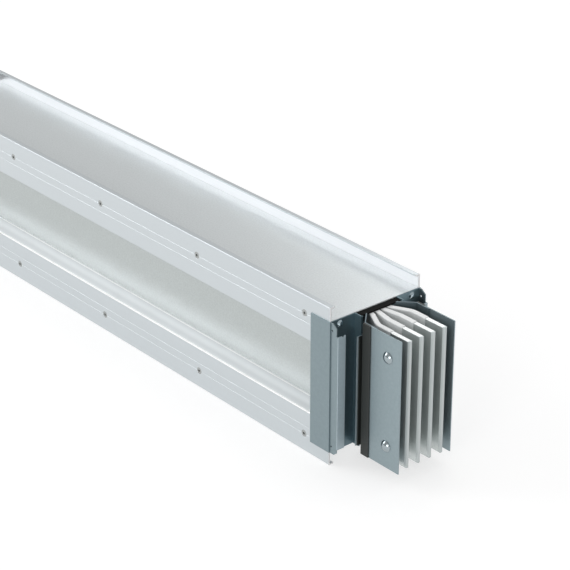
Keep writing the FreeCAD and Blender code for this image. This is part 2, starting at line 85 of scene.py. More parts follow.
# Each softbox: its name, the setting of its power, its place and its width in metres.
SOFTBOXES = (
    ("side_softbox", "side_lamp", (-2.9, -2.5, 1.95), 2.4),
    ("end_softbox", "end_lamp", (1.9, -3.2, 0.9), 1.4),
    ("top_softbox", "top_lamp", (0.2, 0.6, 3.4), 2.2),
    ("back_softbox", "back_lamp", (-1.2, 2.3, 1.9), 1.1),
)
LAMPS_AIM = (0.2, 0, 0.1)
FLOOR_RADIUS = 14


def linear(hex_colour):
    """An sRGB hex colour as the linear values that Blender's sockets take."""
    channels = [int(hex_colour[i:i + 2], 16) / 255 for i in (0, 2, 4)]
    return tuple(c / 12.92 if c <= 0.04045 else ((c + 0.055) / 1.055) ** 2.4 for c in channels)


def colour_setting(name, description, hex_colour):
    """A colour that the sidebar shows."""
    return FloatVectorProperty(name=name, description=description, default=linear(hex_colour), subtype="COLOR",
                               size=3, min=0, max=1)


def length_setting(name, description, default):
    """A length in metres that the sidebar shows."""
    return FloatProperty(name=name, description=description, default=default, min=0, subtype="DISTANCE",
                         unit="LENGTH")


def power_setting(name, description, default):
    """A lamp's power in watts that the sidebar shows."""
    return FloatProperty(name=name, description=description, default=default, min=0, unit="POWER")


class BuswayFinishes(bpy.types.PropertyGroup):
    """Colours of the section's materials."""

    smooth_coat: colour_setting("Smooth coat", "Powder coat of the side profiles' flanges", "C2C8CB")
    # The paler inner tone is painted light: bounce from the covers on the flanges' inner faces, light from above on
    # the ledges.
    bounce_lit_coat: colour_setting("Inner coat", "Powder coat of the flanges' inner faces and the ledges", "DCDDE0")
    sunk_coat: colour_setting("Sunk side coat", "Fine texture coat of the profiles' sunk middle", "C0C6C5")
    cover_coat: colour_setting("Cover coat", "Fine texture coat of the covers", "DADFE0")
    galvanised: colour_setting("Galvanised plate", "Zinc of the earth plates", "96A5AA")
    # The flared earth sheets' darker zinc is painted shade, for the shadow they lie in.
    galvanised_sheet: colour_setting("Galvanised sheet", "Dull zinc of the flared earth sheets", "6E7D83")
    # The joint flanges' zinc is darker than the plates' as painted shade.
    galvanised_flange: colour_setting("Galvanised flange", "Zinc of the joint flanges", "89989D")
    # On the sheets' turned lips this pale zinc is painted light; the pan heads take it as their own zinc.
    lit_lip_and_screw_zinc: colour_setting("Galvanised lip", "Dull zinc on the sheets' turned lips and the pan heads",
                                   "B8C8CF")
    # The end sheets' blue black is painted shade, for the dark deep in the case's ends.
    shaded_end_sheet: colour_setting("Passivated sheet", "Blue black zinc of the end sheets", "6F848C")
    bar: colour_setting("Bar", "Tinned faces of the bars' bare tabs", "DCE2E1")
    # The bars' darker tips are painted shade.
    bar_tip_shade: colour_setting("Bar tip", "Cut and bevelled tips of the bars", "CED5D5")
    # The bars' white top edges are a painted highlight.
    bar_edge_highlight: colour_setting("Bar edge", "Bright rolled edges of the bars", "F2F5F5")
    bar_film: colour_setting("Bar film", "Insulation round the bars", "DADDDD")
    # The film's white top is a painted highlight.
    film_top_highlight: colour_setting("Film fold", "Insulation where it is folded double over the bars' edges", "EFF1F1")
    black_plastic: colour_setting("Black plastic", "Edge strips at the earth plates", "2A2E2C")
    # Part of the board's near black is painted shade, for the shadow in the slot between case and bars.
    black_board: colour_setting("Black board", "Insulating sheets above and below the bars", "0C0D0C")
    zinc: colour_setting("Zinc plate", "Dome headed studs of the earth plates", "A2ACB0")
    stainless: colour_setting("Stainless steel", "Countersunk case screws", "A9ACAB")


class BuswayFasteners(bpy.types.PropertyGroup):
    """Sizes of the detailed screws and studs."""

    case_screw_radius: length_setting("Case screw radius", "Radius of the countersunk heads", 5 * MM)
    socket_width: length_setting("Socket width", "Across the case screws' six lobed socket", 4.2 * MM)
    socket_depth: length_setting("Socket depth", "Depth of the six lobed socket", 2.2 * MM)
    dish: length_setting("Dish", "Width of the sloped ring round a case screw's face", 1.0 * MM)
    pan_head_radius: length_setting("Pan head radius", "Radius of the end screws' heads, as in the photo", 5 * MM)
    cross_width: length_setting("Cross width", "Across the arms of the pan heads' cross recess", 3.2 * MM)
    cross_arm: length_setting("Cross arm", "Thickness of one arm of the cross recess", 0.7 * MM)
    edge_round: length_setting("Edge rounding", "Radius round the rims of the heads", 0.25 * MM)
    seed: IntProperty(name="Seed", description="Seed of the turn that each screw stopped at", default=4)


class BuswayStudio(bpy.types.PropertyGroup):
    """Camera, lamps and floor."""

    camera_place: FloatVectorProperty(name="Camera place", description="Where the camera stands", size=3,
                                      default=(2.24773, -1.61706, 1.40659), subtype="TRANSLATION", unit="LENGTH")
    camera_yaw: FloatProperty(name="Camera yaw", description="Turn of the view from the section's length",
                              default=math.radians(39.974), subtype="ANGLE", unit="ROTATION")
    camera_pitch: FloatProperty(name="Camera pitch", description="How far the camera looks down",
                                default=math.radians(26.166), subtype="ANGLE", unit="ROTATION")
    lens: FloatProperty(name="Lens", description="Focal length on a 36 mm sensor", default=130.9, min=10,
                        unit="CAMERA")
    room_light: FloatProperty(name="Room light", description="Strength of the even light from all sides",
                              default=0.56, min=0)
    side_lamp: power_setting("Side lamp", "Power of the softbox to the left of the section's near side", 54)
    end_lamp: power_setting("End lamp", "Power of the softbox before the near side's right end", 32)
    top_lamp: power_setting("Top lamp", "Power of the softbox overhead", 18)
    back_lamp: power_setting("Back lamp", "Power of the softbox behind, whose glint lies on the tops", 7)
    paper: colour_setting("Paper", "Matt paper under the section", "B4B4B4")
    paper_glow: FloatProperty(name="Paper glow", description="What the lit paper lacks to white, as seen directly",
                              default=0.63, min=0)


def settings():
    """The scene's finishes, fasteners and studio."""
    return bpy.context.scene.busway_finishes, bpy.context.scene.busway_fasteners, bpy.context.scene.busway_studio


def add_node(tree, kind, inputs=None, **attributes):
    """Add a node, set its attributes, and give its inputs a constant or another node's output."""
    node = tree.nodes.new(kind)
    for name, setting in attributes.items():
        setattr(node, name, setting)
    for key, source in (inputs or {}).items():
        if isinstance(source, bpy.types.NodeSocket):
            tree.links.new(source, node.inputs[key])
        else:
            node.inputs[key].default_value = source
    return node


def new_material(name, colour, **constants):
    """A Principled material with constants set on the shader itself; gives the material, its tree and shader."""
    material = bpy.data.materials.new(name)
    material.use_nodes = True
    material.diffuse_color = (*colour, 1)
    tree = material.node_tree
    shader = tree.nodes["Principled BSDF"]
    for key, setting in constants.items():
        shader.inputs[key.replace("_", " ").title().replace("Ior", "IOR")].default_value = setting
    return material, tree, shader


def object_noise(tree, size, detail=2.0, stretch=(1, 1, 1)):
    """Noise on object coordinates whose lumps are about size metres across."""
    place = add_node(tree, "ShaderNodeTexCoord")
    mapping = add_node(tree, "ShaderNodeMapping", {"Vector": place.outputs["Object"], "Scale": stretch})
    return add_node(tree, "ShaderNodeTexNoise", {"Vector": mapping.outputs["Vector"], "Scale": 1 / size,
                                                 "Detail": detail}).outputs["Fac"]


def vary_colour(tree, shader, colour, pattern, amount):
    """Lighten and darken a colour by the pattern, by amount each way."""
    low = tuple(c * (1 - amount) for c in colour)
    high = tuple(min(1, c * (1 + amount)) for c in colour)
    mix = add_node(tree, "ShaderNodeMix", {"Factor": pattern, "A": (*low, 1), "B": (*high, 1)}, data_type="RGBA")
    tree.links.new(mix.outputs["Result"], shader.inputs["Base Color"])


def vary_roughness(tree, shader, pattern, low, high):
    """Spread the roughness between two values by the pattern."""
    spread = add_node(tree, "ShaderNodeMapRange", {"Value": pattern, "To Min": low, "To Max": high})
    tree.links.new(spread.outputs["Result"], shader.inputs["Roughness"])


def raise_surface(tree, shader, pattern, height, rounding=0.0, strength=1.0):
    """Bump the surface by the pattern, over edges rounded by the given radius."""
    bump = add_node(tree, "ShaderNodeBump", {"Height": pattern, "Distance": height, "Strength": strength})
    if rounding:
        edge = add_node(tree, "ShaderNodeBevel", {"Radius": rounding}, samples=6)
        tree.links.new(edge.outputs["Normal"], bump.inputs["Normal"])
    tree.links.new(bump.outputs["Normal"], shader.inputs["Normal"])


def distance_aside(tree, axis):
    """A point's distance from the section's centre plane along an axis."""
    place = add_node(tree, "ShaderNodeTexCoord")
    parts = add_node(tree, "ShaderNodeSeparateXYZ", {"Vector": place.outputs["Object"]})
    return add_node(tree, "ShaderNodeMath", {0: parts.outputs[axis]}, operation="ABSOLUTE").outputs[0]


def distance_mask(tree, axis, distance, operation):
    """1 where a point's distance from the section's centre plane along an axis passes the comparison."""
    aside = distance_aside(tree, axis)
    return add_node(tree, "ShaderNodeMath", {0: aside, 1: distance}, operation=operation).outputs[0]


def change_where(tree, shader, key, mask, masked):
    """Keep the constant of a shader's socket, and use another where the mask is 1."""
    change = add_node(tree, "ShaderNodeMapRange", {"Value": mask, "To Min": shader.inputs[key].default_value,
                                                   "To Max": masked})
    tree.links.new(change.outputs["Result"], shader.inputs[key])


def two_tone(tree, shader, mask, colour, masked_colour, pattern, amount):
    """One colour and, where the mask is 1, another, both lightened and darkened by the pattern."""
    both = add_node(tree, "ShaderNodeMix", {"Factor": mask, "A": colour, "B": masked_colour}, data_type="RGBA")
    tone = add_node(tree, "ShaderNodeMapRange", {"Value": pattern, "To Min": 1 + amount, "To Max": 1 - amount})
    toned = add_node(tree, "ShaderNodeVectorMath", {0: both.outputs["Result"], "Scale": tone.outputs["Result"]},
                     operation="SCALE")
    tree.links.new(toned.outputs[0], shader.inputs["Base Color"])


def band_mask(tree, axis, middle, half_width):
    """1 where a point's distance from the centre plane along an axis lies in a band."""
    above = distance_mask(tree, axis, middle - half_width, "GREATER_THAN")
    below = distance_mask(tree, axis, middle + half_width, "LESS_THAN")
    return add_node(tree, "ShaderNodeMath", {0: above, 1: below}, operation="MULTIPLY").outputs[0]


def ridge_shading(tree, ledge):
    """Painted shading of the recess's lower ledge: paler along its shallow ridge and greyer on both sides of it, as
    light falls on the ridge.
    """
    ridge_width, depth, mean = 20 * MM, 0.065, 0.96
    turn = 2 * math.pi / ridge_width
    phase = add_node(tree, "ShaderNodeMath", {0: distance_aside(tree, "Y"), 1: turn, 2: -LEDGE_RIDGE * turn},
                     operation="MULTIPLY_ADD").outputs[0]
    wave = add_node(tree, "ShaderNodeMath", {0: phase}, operation="COSINE").outputs[0]
    tone = add_node(tree, "ShaderNodeMath", {0: wave, 1: depth, 2: mean}, operation="MULTIPLY_ADD").outputs[0]
    return add_node(tree, "ShaderNodeMix", {"Factor": ledge, "A": 1.0, "B": tone}).outputs["Result"]


def painted_highlights(tree, ledge, cut_end, inner_reach):
    """1 where white is painted: highlights along the ledge's groove and outer corner, and painted light on the cut
    ends.
    """
    corner_width, groove_half_width = 1.2 * MM, 1 * MM
    corner = distance_mask(tree, "Y", inner_reach - corner_width, "GREATER_THAN")
    groove = band_mask(tree, "Y", LEDGE_GROOVE, groove_half_width)
    either = add_node(tree, "ShaderNodeMath", {0: corner, 1: groove}, operation="MAXIMUM").outputs[0]
    on_ledge = add_node(tree, "ShaderNodeMath", {0: ledge, 1: either}, operation="MULTIPLY").outputs[0]
    return add_node(tree, "ShaderNodeMath", {0: on_ledge, 1: cut_end}, operation="MAXIMUM").outputs[0]


def powder_coated_aluminium(name, smooth, inner, fine, inner_reach, fine_reach):
    """Pale metallic powder coat on aluminium, by distance from the upright centre plane.

    Past inner_reach it is satin and even; inside it, under the flanges' lips, it is paler with painted light:
    bounce on the flanges' inner faces, light from above on the ledges. Inside fine_reach it is grained and duller.
    The recess's ledge has painted shading in soft bands and painted highlights on its edges, and the cut ends are
    painted white without the sheen.
    """
    lip, ledge_half_height, cut_depth = 2.5 * MM, 0.9 * MM, 0.2 * MM
    material, tree, shader = new_material(name, smooth, metallic=0.6, roughness=0.28)
    fine_mask = distance_mask(tree, "Y", fine_reach, "LESS_THAN")
    inside = distance_mask(tree, "Y", inner_reach, "LESS_THAN")
    below_lip = distance_mask(tree, "Z", CAD_BOX[1].z - lip, "LESS_THAN")
    inner_mask = add_node(tree, "ShaderNodeMath", {0: inside, 1: below_lip}, operation="MULTIPLY").outputs[0]
    ledge = band_mask(tree, "Z", LEDGE_HEIGHT, ledge_half_height)
    cut_end = distance_mask(tree, "X", PROFILE_END - cut_depth, "GREATER_THAN")

    # paler inner faces and ledges: painted bounce light and light from above
    even = add_node(tree, "ShaderNodeMix", {"Factor": inner_mask, "A": (*smooth, 1), "B": (*inner, 1)},
                    data_type="RGBA").outputs["Result"]
    # painted shading across the ledge's ridge
    ridge_shaded = add_node(tree, "ShaderNodeVectorMath", {0: even, "Scale": ridge_shading(tree, ledge)},
                      operation="SCALE").outputs[0]
    # painted highlights and painted light: white along the ledge's groove and outer corner and on the cut ends
    highlit = add_node(tree, "ShaderNodeMix", {"Factor": painted_highlights(tree, ledge, cut_end, inner_reach), "A": ridge_shaded,
                                             "B": (1, 1, 1, 1)}, data_type="RGBA").outputs["Result"]
    # the fine texture's grit is 0.3 mm across, drawn at 2.2 mm
    grit = object_noise(tree, 2.2 * MM, detail=4)
    spots = add_node(tree, "ShaderNodeMath", {0: grit, 1: fine_mask}, operation="MULTIPLY").outputs[0]
    two_tone(tree, shader, fine_mask, highlit, (*fine, 1), spots, amount=0.16)
    # the painted white cut ends have no metallic sheen
    change_where(tree, shader, "Metallic", cut_end, masked=0.0)
    change_where(tree, shader, "Roughness", fine_mask, masked=0.36)
    raise_surface(tree, shader, spots, height=0.12 * MM, rounding=1.2 * MM)
    return material


def galvanised_steel(name, colour, lip_colour, lip_from):
    """Galvanised sheet: blue grey zinc whose fine spangle shows as patches of a slightly other shade.

    Past lip_from the sheet's turned lip is paler and less metallic: painted light.
    """
    material, tree, shader = new_material(name, colour, metallic=0.75)
    lip = distance_mask(tree, "X", lip_from, "GREATER_THAN")
    place = add_node(tree, "ShaderNodeTexCoord")
    # minimised spangle is 1 to 2 mm across, drawn at 5 mm
    spangle = add_node(tree, "ShaderNodeTexVoronoi", {"Vector": place.outputs["Object"], "Scale": 1 / (5 * MM)})
    grain = object_noise(tree, 2.5 * MM, detail=4)
    patches = add_node(tree, "ShaderNodeMix", {"Factor": 0.5, "A": spangle.outputs["Distance"], "B": grain})
    # the lip's pale colour past lip_from is painted light
    two_tone(tree, shader, lip, (*colour, 1), (*lip_colour, 1), patches.outputs["Result"], amount=0.07)
    change_where(tree, shader, "Metallic", lip, masked=0.3)
    vary_roughness(tree, shader, grain, low=0.32, high=0.44)
    raise_surface(tree, shader, grain, height=0.02 * MM, rounding=0.2 * MM)
    return material


def tinned_aluminium(colour, tip_shade_colour, edge_highlight_colour, tip_from, edge_from):
    """Tinned aluminium bar, drawn lengthwise: satin faces with a fine grain, a painted highlight on the top edges
    and painted shade on the tips.
    """
    material, tree, shader = new_material("tinned_aluminium", colour, metallic=0.72, roughness=0.27)
    # draw lines are tenths of a millimetre apart, drawn 2.5 mm apart
    grain = object_noise(tree, 2.5 * MM, stretch=(0.02, 1, 1))
    tip = distance_mask(tree, "X", tip_from, "GREATER_THAN")
    edge = distance_mask(tree, "Z", edge_from, "GREATER_THAN")
    # painted shade on the tips and a painted highlight on the top edges, both with less sheen
    ends = add_node(tree, "ShaderNodeMix", {"Factor": tip, "A": (*edge_highlight_colour, 1), "B": (*tip_shade_colour, 1)},
                    data_type="RGBA")
    either = add_node(tree, "ShaderNodeMath", {0: tip, 1: edge}, operation="MAXIMUM").outputs[0]
    two_tone(tree, shader, either, (*colour, 1), ends.outputs["Result"], grain, amount=0.015)
    change_where(tree, shader, "Metallic", either, masked=0.35)
    # the tin lies so flat that only the edges' rounding shows
    raise_surface(tree, shader, grain, height=0.0001 * MM, rounding=0.2 * MM)
    return material


def polyester_film(colour, top_highlight_colour, highlight_from):
    """Laminated polyester film: milky grey with a soft gloss, and white along its top, where it is folded over the
    edge, as a painted highlight.
    """
    material, tree, shader = new_material("polyester_film", colour, ior=1.57)
    # shallow wrinkles about 25 mm wide and twice as long
    wrinkle = object_noise(tree, 25 * MM, stretch=(0.5, 1, 1))
    # painted highlight along the film's top
    fold = distance_mask(tree, "Z", highlight_from, "GREATER_THAN")
    two_tone(tree, shader, fold, (*colour, 1), (*top_highlight_colour, 1), wrinkle, amount=0.03)
    vary_roughness(tree, shader, wrinkle, low=0.25, high=0.38)
    raise_surface(tree, shader, wrinkle, height=0.15 * MM, rounding=0.8 * MM, strength=0.6)
    return material


def insulating_board(colour):
    """Pressed insulating board: dead black and matt; part of its black is painted shade, for the shadow in the slot
    between case and bars.
    """
    material, tree, shader = new_material("insulating_board", colour, specular_ior_level=0.15)
    # the board's fibres are some tenths of a millimetre wide, drawn at 2 mm
    fibre = object_noise(tree, 2 * MM, detail=3)
    vary_colour(tree, shader, colour, fibre, amount=0.15)
    vary_roughness(tree, shader, fibre, low=0.7, high=0.85)
    raise_surface(tree, shader, fibre, height=0.03 * MM, rounding=0.2 * MM)
    return material


def black_polyamide(colour):
    """Moulded polyamide: near black, with the faint grey of its spark eroded mould."""
    material, tree, shader = new_material("black_polyamide", colour, ior=1.53)
    # the mould's grain is 0.3 mm across, drawn at 1.5 mm
    grain = object_noise(tree, 1.5 * MM, detail=3)
    vary_colour(tree, shader, colour, grain, amount=0.12)
    vary_roughness(tree, shader, grain, low=0.44, high=0.58)
    raise_surface(tree, shader, grain, height=0.03 * MM, rounding=0.3 * MM)
    return material


def zinc_plated_steel(name, colour, roughness):
    """Bright zinc plate on formed steel: near mirror highlights with a little haze."""
    material, tree, shader = new_material(name, colour, metallic=1.0)
    # the plate's haze lies in patches of about 2 mm
    haze = object_noise(tree, 2 * MM, detail=3)
    vary_colour(tree, shader, colour, haze, amount=0.04)
    vary_roughness(tree, shader, haze, low=roughness * 0.7, high=roughness * 1.3)
    return material


def stainless_steel(colour):
    """Turned stainless steel: a grey head with a low, even gloss."""
    material, tree, shader = new_material("stainless_steel", colour, metallic=1.0)
    # turning marks are tenths of a millimetre apart, drawn as a haze of 1.5 mm
    haze = object_noise(tree, 1.5 * MM, detail=3)
    vary_colour(tree, shader, colour, haze, amount=0.05)
    vary_roughness(tree, shader, haze, low=0.34, high=0.46)
    return material


def finish_nodes(prefixes, material):
    """Give a material to every CAD node whose name starts with one of the prefixes."""
    for name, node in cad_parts.items():
        if name.startswith(prefixes):
            node.data.materials.clear()
            node.data.materials.append(material)


def lathe(profile, segments):
    """A closed solid turned about Z from (radius, height) points that start and end on the axis."""
    shape = bmesh.new()
    rings = []
    for radius, height in profile:
        if radius == 0:
            rings.append([shape.verts.new((0, 0, height))])
        else:
            turns = [2 * math.pi * i / segments for i in range(segments)]
            rings.append([shape.verts.new((radius * math.cos(a), radius * math.sin(a), height)) for a in turns])
    for lower, upper in zip(rings, rings[1:]):
        for i in range(segments):
            after = (i + 1) % segments
            corners = [lower[i % len(lower)], lower[after % len(lower)], upper[after % len(upper)],
                       upper[i % len(upper)]]
            shape.faces.new(list(dict.fromkeys(corners)))
    bmesh.ops.recalc_face_normals(shape, faces=shape.faces)
    return shape


def arc(centre_radius, centre_height, radius, start, stop, steps):
    """Points of an arc in a lathe's profile; angles are in degrees from the radius direction."""
    angles = [math.radians(start + (stop - start) * i / steps) for i in range(steps + 1)]
    return [(centre_radius + radius * math.cos(a), centre_height + radius * math.sin(a)) for a in angles]


def prism(outline, low, high, spread=1.0):
    """A closed upright prism over an outline, whose top is spread times as wide."""
    shape = bmesh.new()
    bottom = [shape.verts.new((x, y, low)) for x, y in outline]
    top = [shape.verts.new((x * spread, y * spread, high)) for x, y in outline]
    shape.faces.new(bottom)
    shape.faces.new(top)
    for i in range(len(outline)):
        after = (i + 1) % len(outline)
        shape.faces.new((bottom[i], bottom[after], top[after], top[i]))
    bmesh.ops.recalc_face_normals(shape, faces=shape.faces)
    return shape


def as_object(shape, name):
    """An object in the scene with the shape as its mesh; the shape itself is freed."""
    mesh = bpy.data.meshes.new(name)
    shape.to_mesh(mesh)
    shape.free()
    thing = bpy.data.objects.new(name, mesh)
    bpy.context.scene.collection.objects.link(thing)
    return thing


def applied(thing, name):
    """A plain mesh of an object with its modifiers in it; the object itself is removed."""
    bpy.context.view_layer.update()
    seen = thing.evaluated_get(bpy.context.evaluated_depsgraph_get())
    mesh = bpy.data.meshes.new_from_object(seen)
    mesh.name = name
    thing.modifiers.clear()
    bpy.data.objects.remove(thing)
    return mesh


def cut_head(head, cutter, name):
    """Cut a driver recess into a head."""
    boolean = head.modifiers.new("recess", "BOOLEAN")
    boolean.operation = "DIFFERENCE"
    boolean.solver = "EXACT"
    boolean.object = cutter
    mesh = applied(head, name)
    bpy.data.objects.remove(cutter)
    return mesh


def smooth_by_angle(mesh, degrees=32):
    """Smooth shading that keeps edges sharper than the angle."""
    shape = bmesh.new()
    shape.from_mesh(mesh)
    limit = math.radians(degrees)
    for face in shape.faces:
        face.smooth = True
    for edge in shape.edges:
        edge.smooth = len(edge.link_faces) == 2 and edge.calc_face_angle(0) < limit
    shape.to_mesh(mesh)
    shape.free()
    return mesh


def countersunk_screw(radius, height, shank, length, sizes):
    """A countersunk screw along Z with its face at the origin and a six lobed socket."""
    rim = sizes.edge_round
    head = as_object(lathe([(0, 0), (radius - sizes.dish, 0), (radius, -rim), (shank, -height), (shank, -length),
                            (0, -length)], HEAD_SEGMENTS), "countersunk_head")
    lobe_share, lobe_points = 0.14, 72
    lobes = []
    for i in range(lobe_points):
        turn = 2 * math.pi * i / lobe_points
        reach = sizes.socket_width / 2 * (1 - lobe_share + lobe_share * math.cos(6 * turn))
        lobes.append((reach * math.cos(turn), reach * math.sin(turn)))
    cutter = as_object(prism(lobes, -sizes.socket_depth, rim * 2), "six_lobed_cutter")
    return smooth_by_angle(cut_head(head, cutter, "countersunk_screw"))


def dome_profile(radius, height, rim):
    """Points of a domed head's outline from its crown to its seat."""
    steps = 14
    sphere = (radius ** 2 + (height - rim) ** 2) / (2 * (height - rim))
    start = math.degrees(math.asin((sphere - height + rim) / sphere))
    dome = arc(0, height - sphere, sphere, start, 90, steps)[:-1]
    return [(0, height)] + dome[::-1] + [(radius, 0)]


def shank_and_tail(shank, length, tail_radius, tail_height):
    """Points of a shank's outline from the head's seat, and of the nut or riveted tail at its far end."""
    return [(shank, 0), (shank, -length), (tail_radius, -length), (tail_radius, -length - tail_height),
            (0, -length - tail_height)]


def pan_head_screw(radius, height, length, tail_radius, tail_height, sizes):
    """A pan head screw along Z with its seat at the origin, a cross recess and its nut at the far end."""
    shank, recess_floor, above_crown, flare = tail_radius * 0.7, height * 0.65, height * 1.1, 1.15
    profile = dome_profile(radius, height, sizes.edge_round)
    profile += shank_and_tail(shank, length, tail_radius, tail_height)
    head = as_object(lathe(profile, HEAD_SEGMENTS), "pan_head")
    reach, half = sizes.cross_width / 2, sizes.cross_arm / 2
    cross = [(reach, -half), (reach, half), (half, half), (half, reach), (-half, reach), (-half, half),
             (-reach, half), (-reach, -half), (-half, -half), (-half, -reach), (half, -reach), (half, -half)]
    cutter = as_object(prism(cross, recess_floor, above_crown, flare), "cross_cutter")
    return smooth_by_angle(cut_head(head, cutter, "pan_head_screw"))


def dome_stud(radius, height, length, tail_radius, tail_height, sizes):
    """A dome headed stud along Z with its seat at the origin and a flat riveted tail."""
    shank = tail_radius * 0.6
    profile = dome_profile(radius, height, sizes.edge_round * 2)
    profile += shank_and_tail(shank, length, tail_radius, tail_height)
    return smooth_by_angle(applied(as_object(lathe(profile, DOME_SEGMENTS), "dome_head"), "dome_stud"))


def fastener_tree():
    """Geometry Nodes that set one fastener at each point of a flat pattern and turn the pattern into place."""
    tree = bpy.data.node_groups.new("fastener_pattern", "GeometryNodeTree")
    tree.is_modifier = True
    inputs = [("Fastener", "NodeSocketObject"), ("Columns", "NodeSocketInt"), ("Rows", "NodeSocketInt"),
              ("Pattern Width", "NodeSocketFloat"), ("Pattern Height", "NodeSocketFloat"),
              ("Centre", "NodeSocketVector"), ("Facing", "NodeSocketRotation"), ("Seed", "NodeSocketInt"),
              ("Finish", "NodeSocketMaterial")]
    tree.interface.new_socket("Geometry", in_out="INPUT", socket_type="NodeSocketGeometry")
    for name, kind in inputs:
        tree.interface.new_socket(name, in_out="INPUT", socket_type=kind)
    tree.interface.new_socket("Geometry", in_out="OUTPUT", socket_type="NodeSocketGeometry")
    given = add_node(tree, "NodeGroupInput").outputs
    pattern = add_node(tree, "GeometryNodeMeshGrid", {
        "Size X": given["Pattern Width"], "Size Y": given["Pattern Height"], "Vertices X": given["Columns"],
        "Vertices Y": given["Rows"]})
    source = add_node(tree, "GeometryNodeObjectInfo", {"Object": given["Fastener"], "As Instance": True})
    row = add_node(tree, "GeometryNodeInstanceOnPoints", {"Points": pattern.outputs["Mesh"],
                                                          "Instance": source.outputs["Geometry"]})
    turn = add_node(tree, "FunctionNodeRandomValue", {"Min": 0.0, "Max": math.tau, "Seed": given["Seed"]},
                    data_type="FLOAT")
    spin = add_node(tree, "ShaderNodeCombineXYZ", {"Z": turn.outputs["Value"]})
    turned = add_node(tree, "GeometryNodeRotateInstances", {"Instances": row.outputs["Instances"],
                                                            "Rotation": spin.outputs["Vector"]})
    placed = add_node(tree, "GeometryNodeTransform", {"Geometry": turned.outputs["Instances"],
                                                      "Translation": given["Centre"], "Rotation": given["Facing"]})
    real = add_node(tree, "GeometryNodeRealizeInstances", {"Geometry": placed.outputs["Geometry"]})
    finished = add_node(tree, "GeometryNodeSetMaterial", {"Geometry": real.outputs["Geometry"],
                                                          "Material": given["Finish"]})
    add_node(tree, "NodeGroupOutput", {"Geometry": finished.outputs["Geometry"]})
    return tree


def fastener_piece(name, tree, screw, columns, rows, width, height, centre, facing, seed, material, node):
    """One piece with a fastener at each point of a pattern, standing for the CAD node of the same fasteners."""
    carrier = as_object(bmesh.new(), name + "_carrier")
    pattern = carrier.modifiers.new("pattern", "NODES")
    pattern.node_group = tree
    values = {"Fastener": screw, "Columns": columns, "Rows": rows, "Pattern Width": width, "Pattern Height": height,
              "Centre": centre, "Facing": facing, "Seed": seed, "Finish": material}
    for socket in tree.interface.items_tree:
        if socket.in_out == "INPUT" and socket.name in values:
            pattern[socket.identifier] = values[socket.name]
    mesh = applied(carrier, name)
    piece = bpy.data.objects.new(name, mesh)
    bpy.context.scene.collection.objects.link(piece)
    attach(piece, "root")
    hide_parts(node)


class BUSWAY_OT_case(bpy.types.Operator):
    """Coat the side profiles and the covers"""

    bl_idname = "busway.case"
    bl_label = "Case"

    def execute(self, context):
        finishes = settings()[0]
        smooth, inner, sunk = tuple(finishes.smooth_coat), tuple(finishes.bounce_lit_coat), tuple(finishes.sunk_coat)
        cover, whole_width = tuple(finishes.cover_coat), CAD_BOX[1].y
        finish_nodes(("side_profile",), powder_coated_aluminium("powder_coat_sides", smooth, inner, sunk,
                                                                FLANGE_SKIN, SUNK_MIDDLE))
        # the covers are grained all over
        finish_nodes(("top_cover", "bottom_cover"), powder_coated_aluminium("powder_coat_covers", cover, cover,
                                                                            cover, whole_width, whole_width))
        return {"FINISHED"}


class BUSWAY_OT_conductors(bpy.types.Operator):
    """Finish the bars and the film round them"""

    bl_idname = "busway.conductors"
    bl_label = "Conductors"

    def execute(self, context):
        finishes = settings()[0]
        tip_length, edge_depth = 3 * MM, 1 * MM
        tip_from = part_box("busbar_1")[1].x - tip_length
        edge_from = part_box("busbar_1")[1].z - edge_depth
        finish_nodes(("busbar",), tinned_aluminium(tuple(finishes.bar), tuple(finishes.bar_tip_shade),
                                                   tuple(finishes.bar_edge_highlight), tip_from, edge_from))
        finish_nodes(("bar_wrap",), polyester_film(tuple(finishes.bar_film), tuple(finishes.film_top_highlight), edge_from))
        return {"FINISHED"}


class BUSWAY_OT_sheets(bpy.types.Operator):
    """Galvanise the earth sheets and plates, end sheets and joint flanges"""

    bl_idname = "busway.sheets"
    bl_label = "Galvanised sheets"

    def execute(self, context):
        finishes = settings()[0]
        plate, sheet = tuple(finishes.galvanised), tuple(finishes.galvanised_sheet)
        flange, lip = tuple(finishes.galvanised_flange), tuple(finishes.lit_lip_and_screw_zinc)
        dark = tuple(finishes.shaded_end_sheet)
        # the earth plates and earth sheets have no lip
        finish_nodes(("earth_plate",), galvanised_steel("galvanised_plate", plate, plate, CAD_BOX[1].x))
        # the earth sheets' darker zinc is painted shade
        finish_nodes(("earth_sheet",), galvanised_steel("galvanised_sheet", sheet, sheet, CAD_BOX[1].x))
        finish_nodes(("joint_flange",), galvanised_steel("galvanised_flange", flange, lip, SHEET_LIP))
        # the end sheets' blue black is painted shade
        finish_nodes(("end_sheet",), galvanised_steel("passivated_steel", dark, lip, SHEET_LIP))
        return {"FINISHED"}


class BUSWAY_OT_mouldings(bpy.types.Operator):
    """Finish the black edge strips and insulating sheets"""

    bl_idname = "busway.mouldings"
    bl_label = "Black mouldings"

    def execute(self, context):
        finishes = settings()[0]
        finish_nodes(("edge_strip",), black_polyamide(tuple(finishes.black_plastic)))
        finish_nodes(("top_insulator", "bottom_insulator"), insulating_board(tuple(finishes.black_board)))
        return {"FINISHED"}


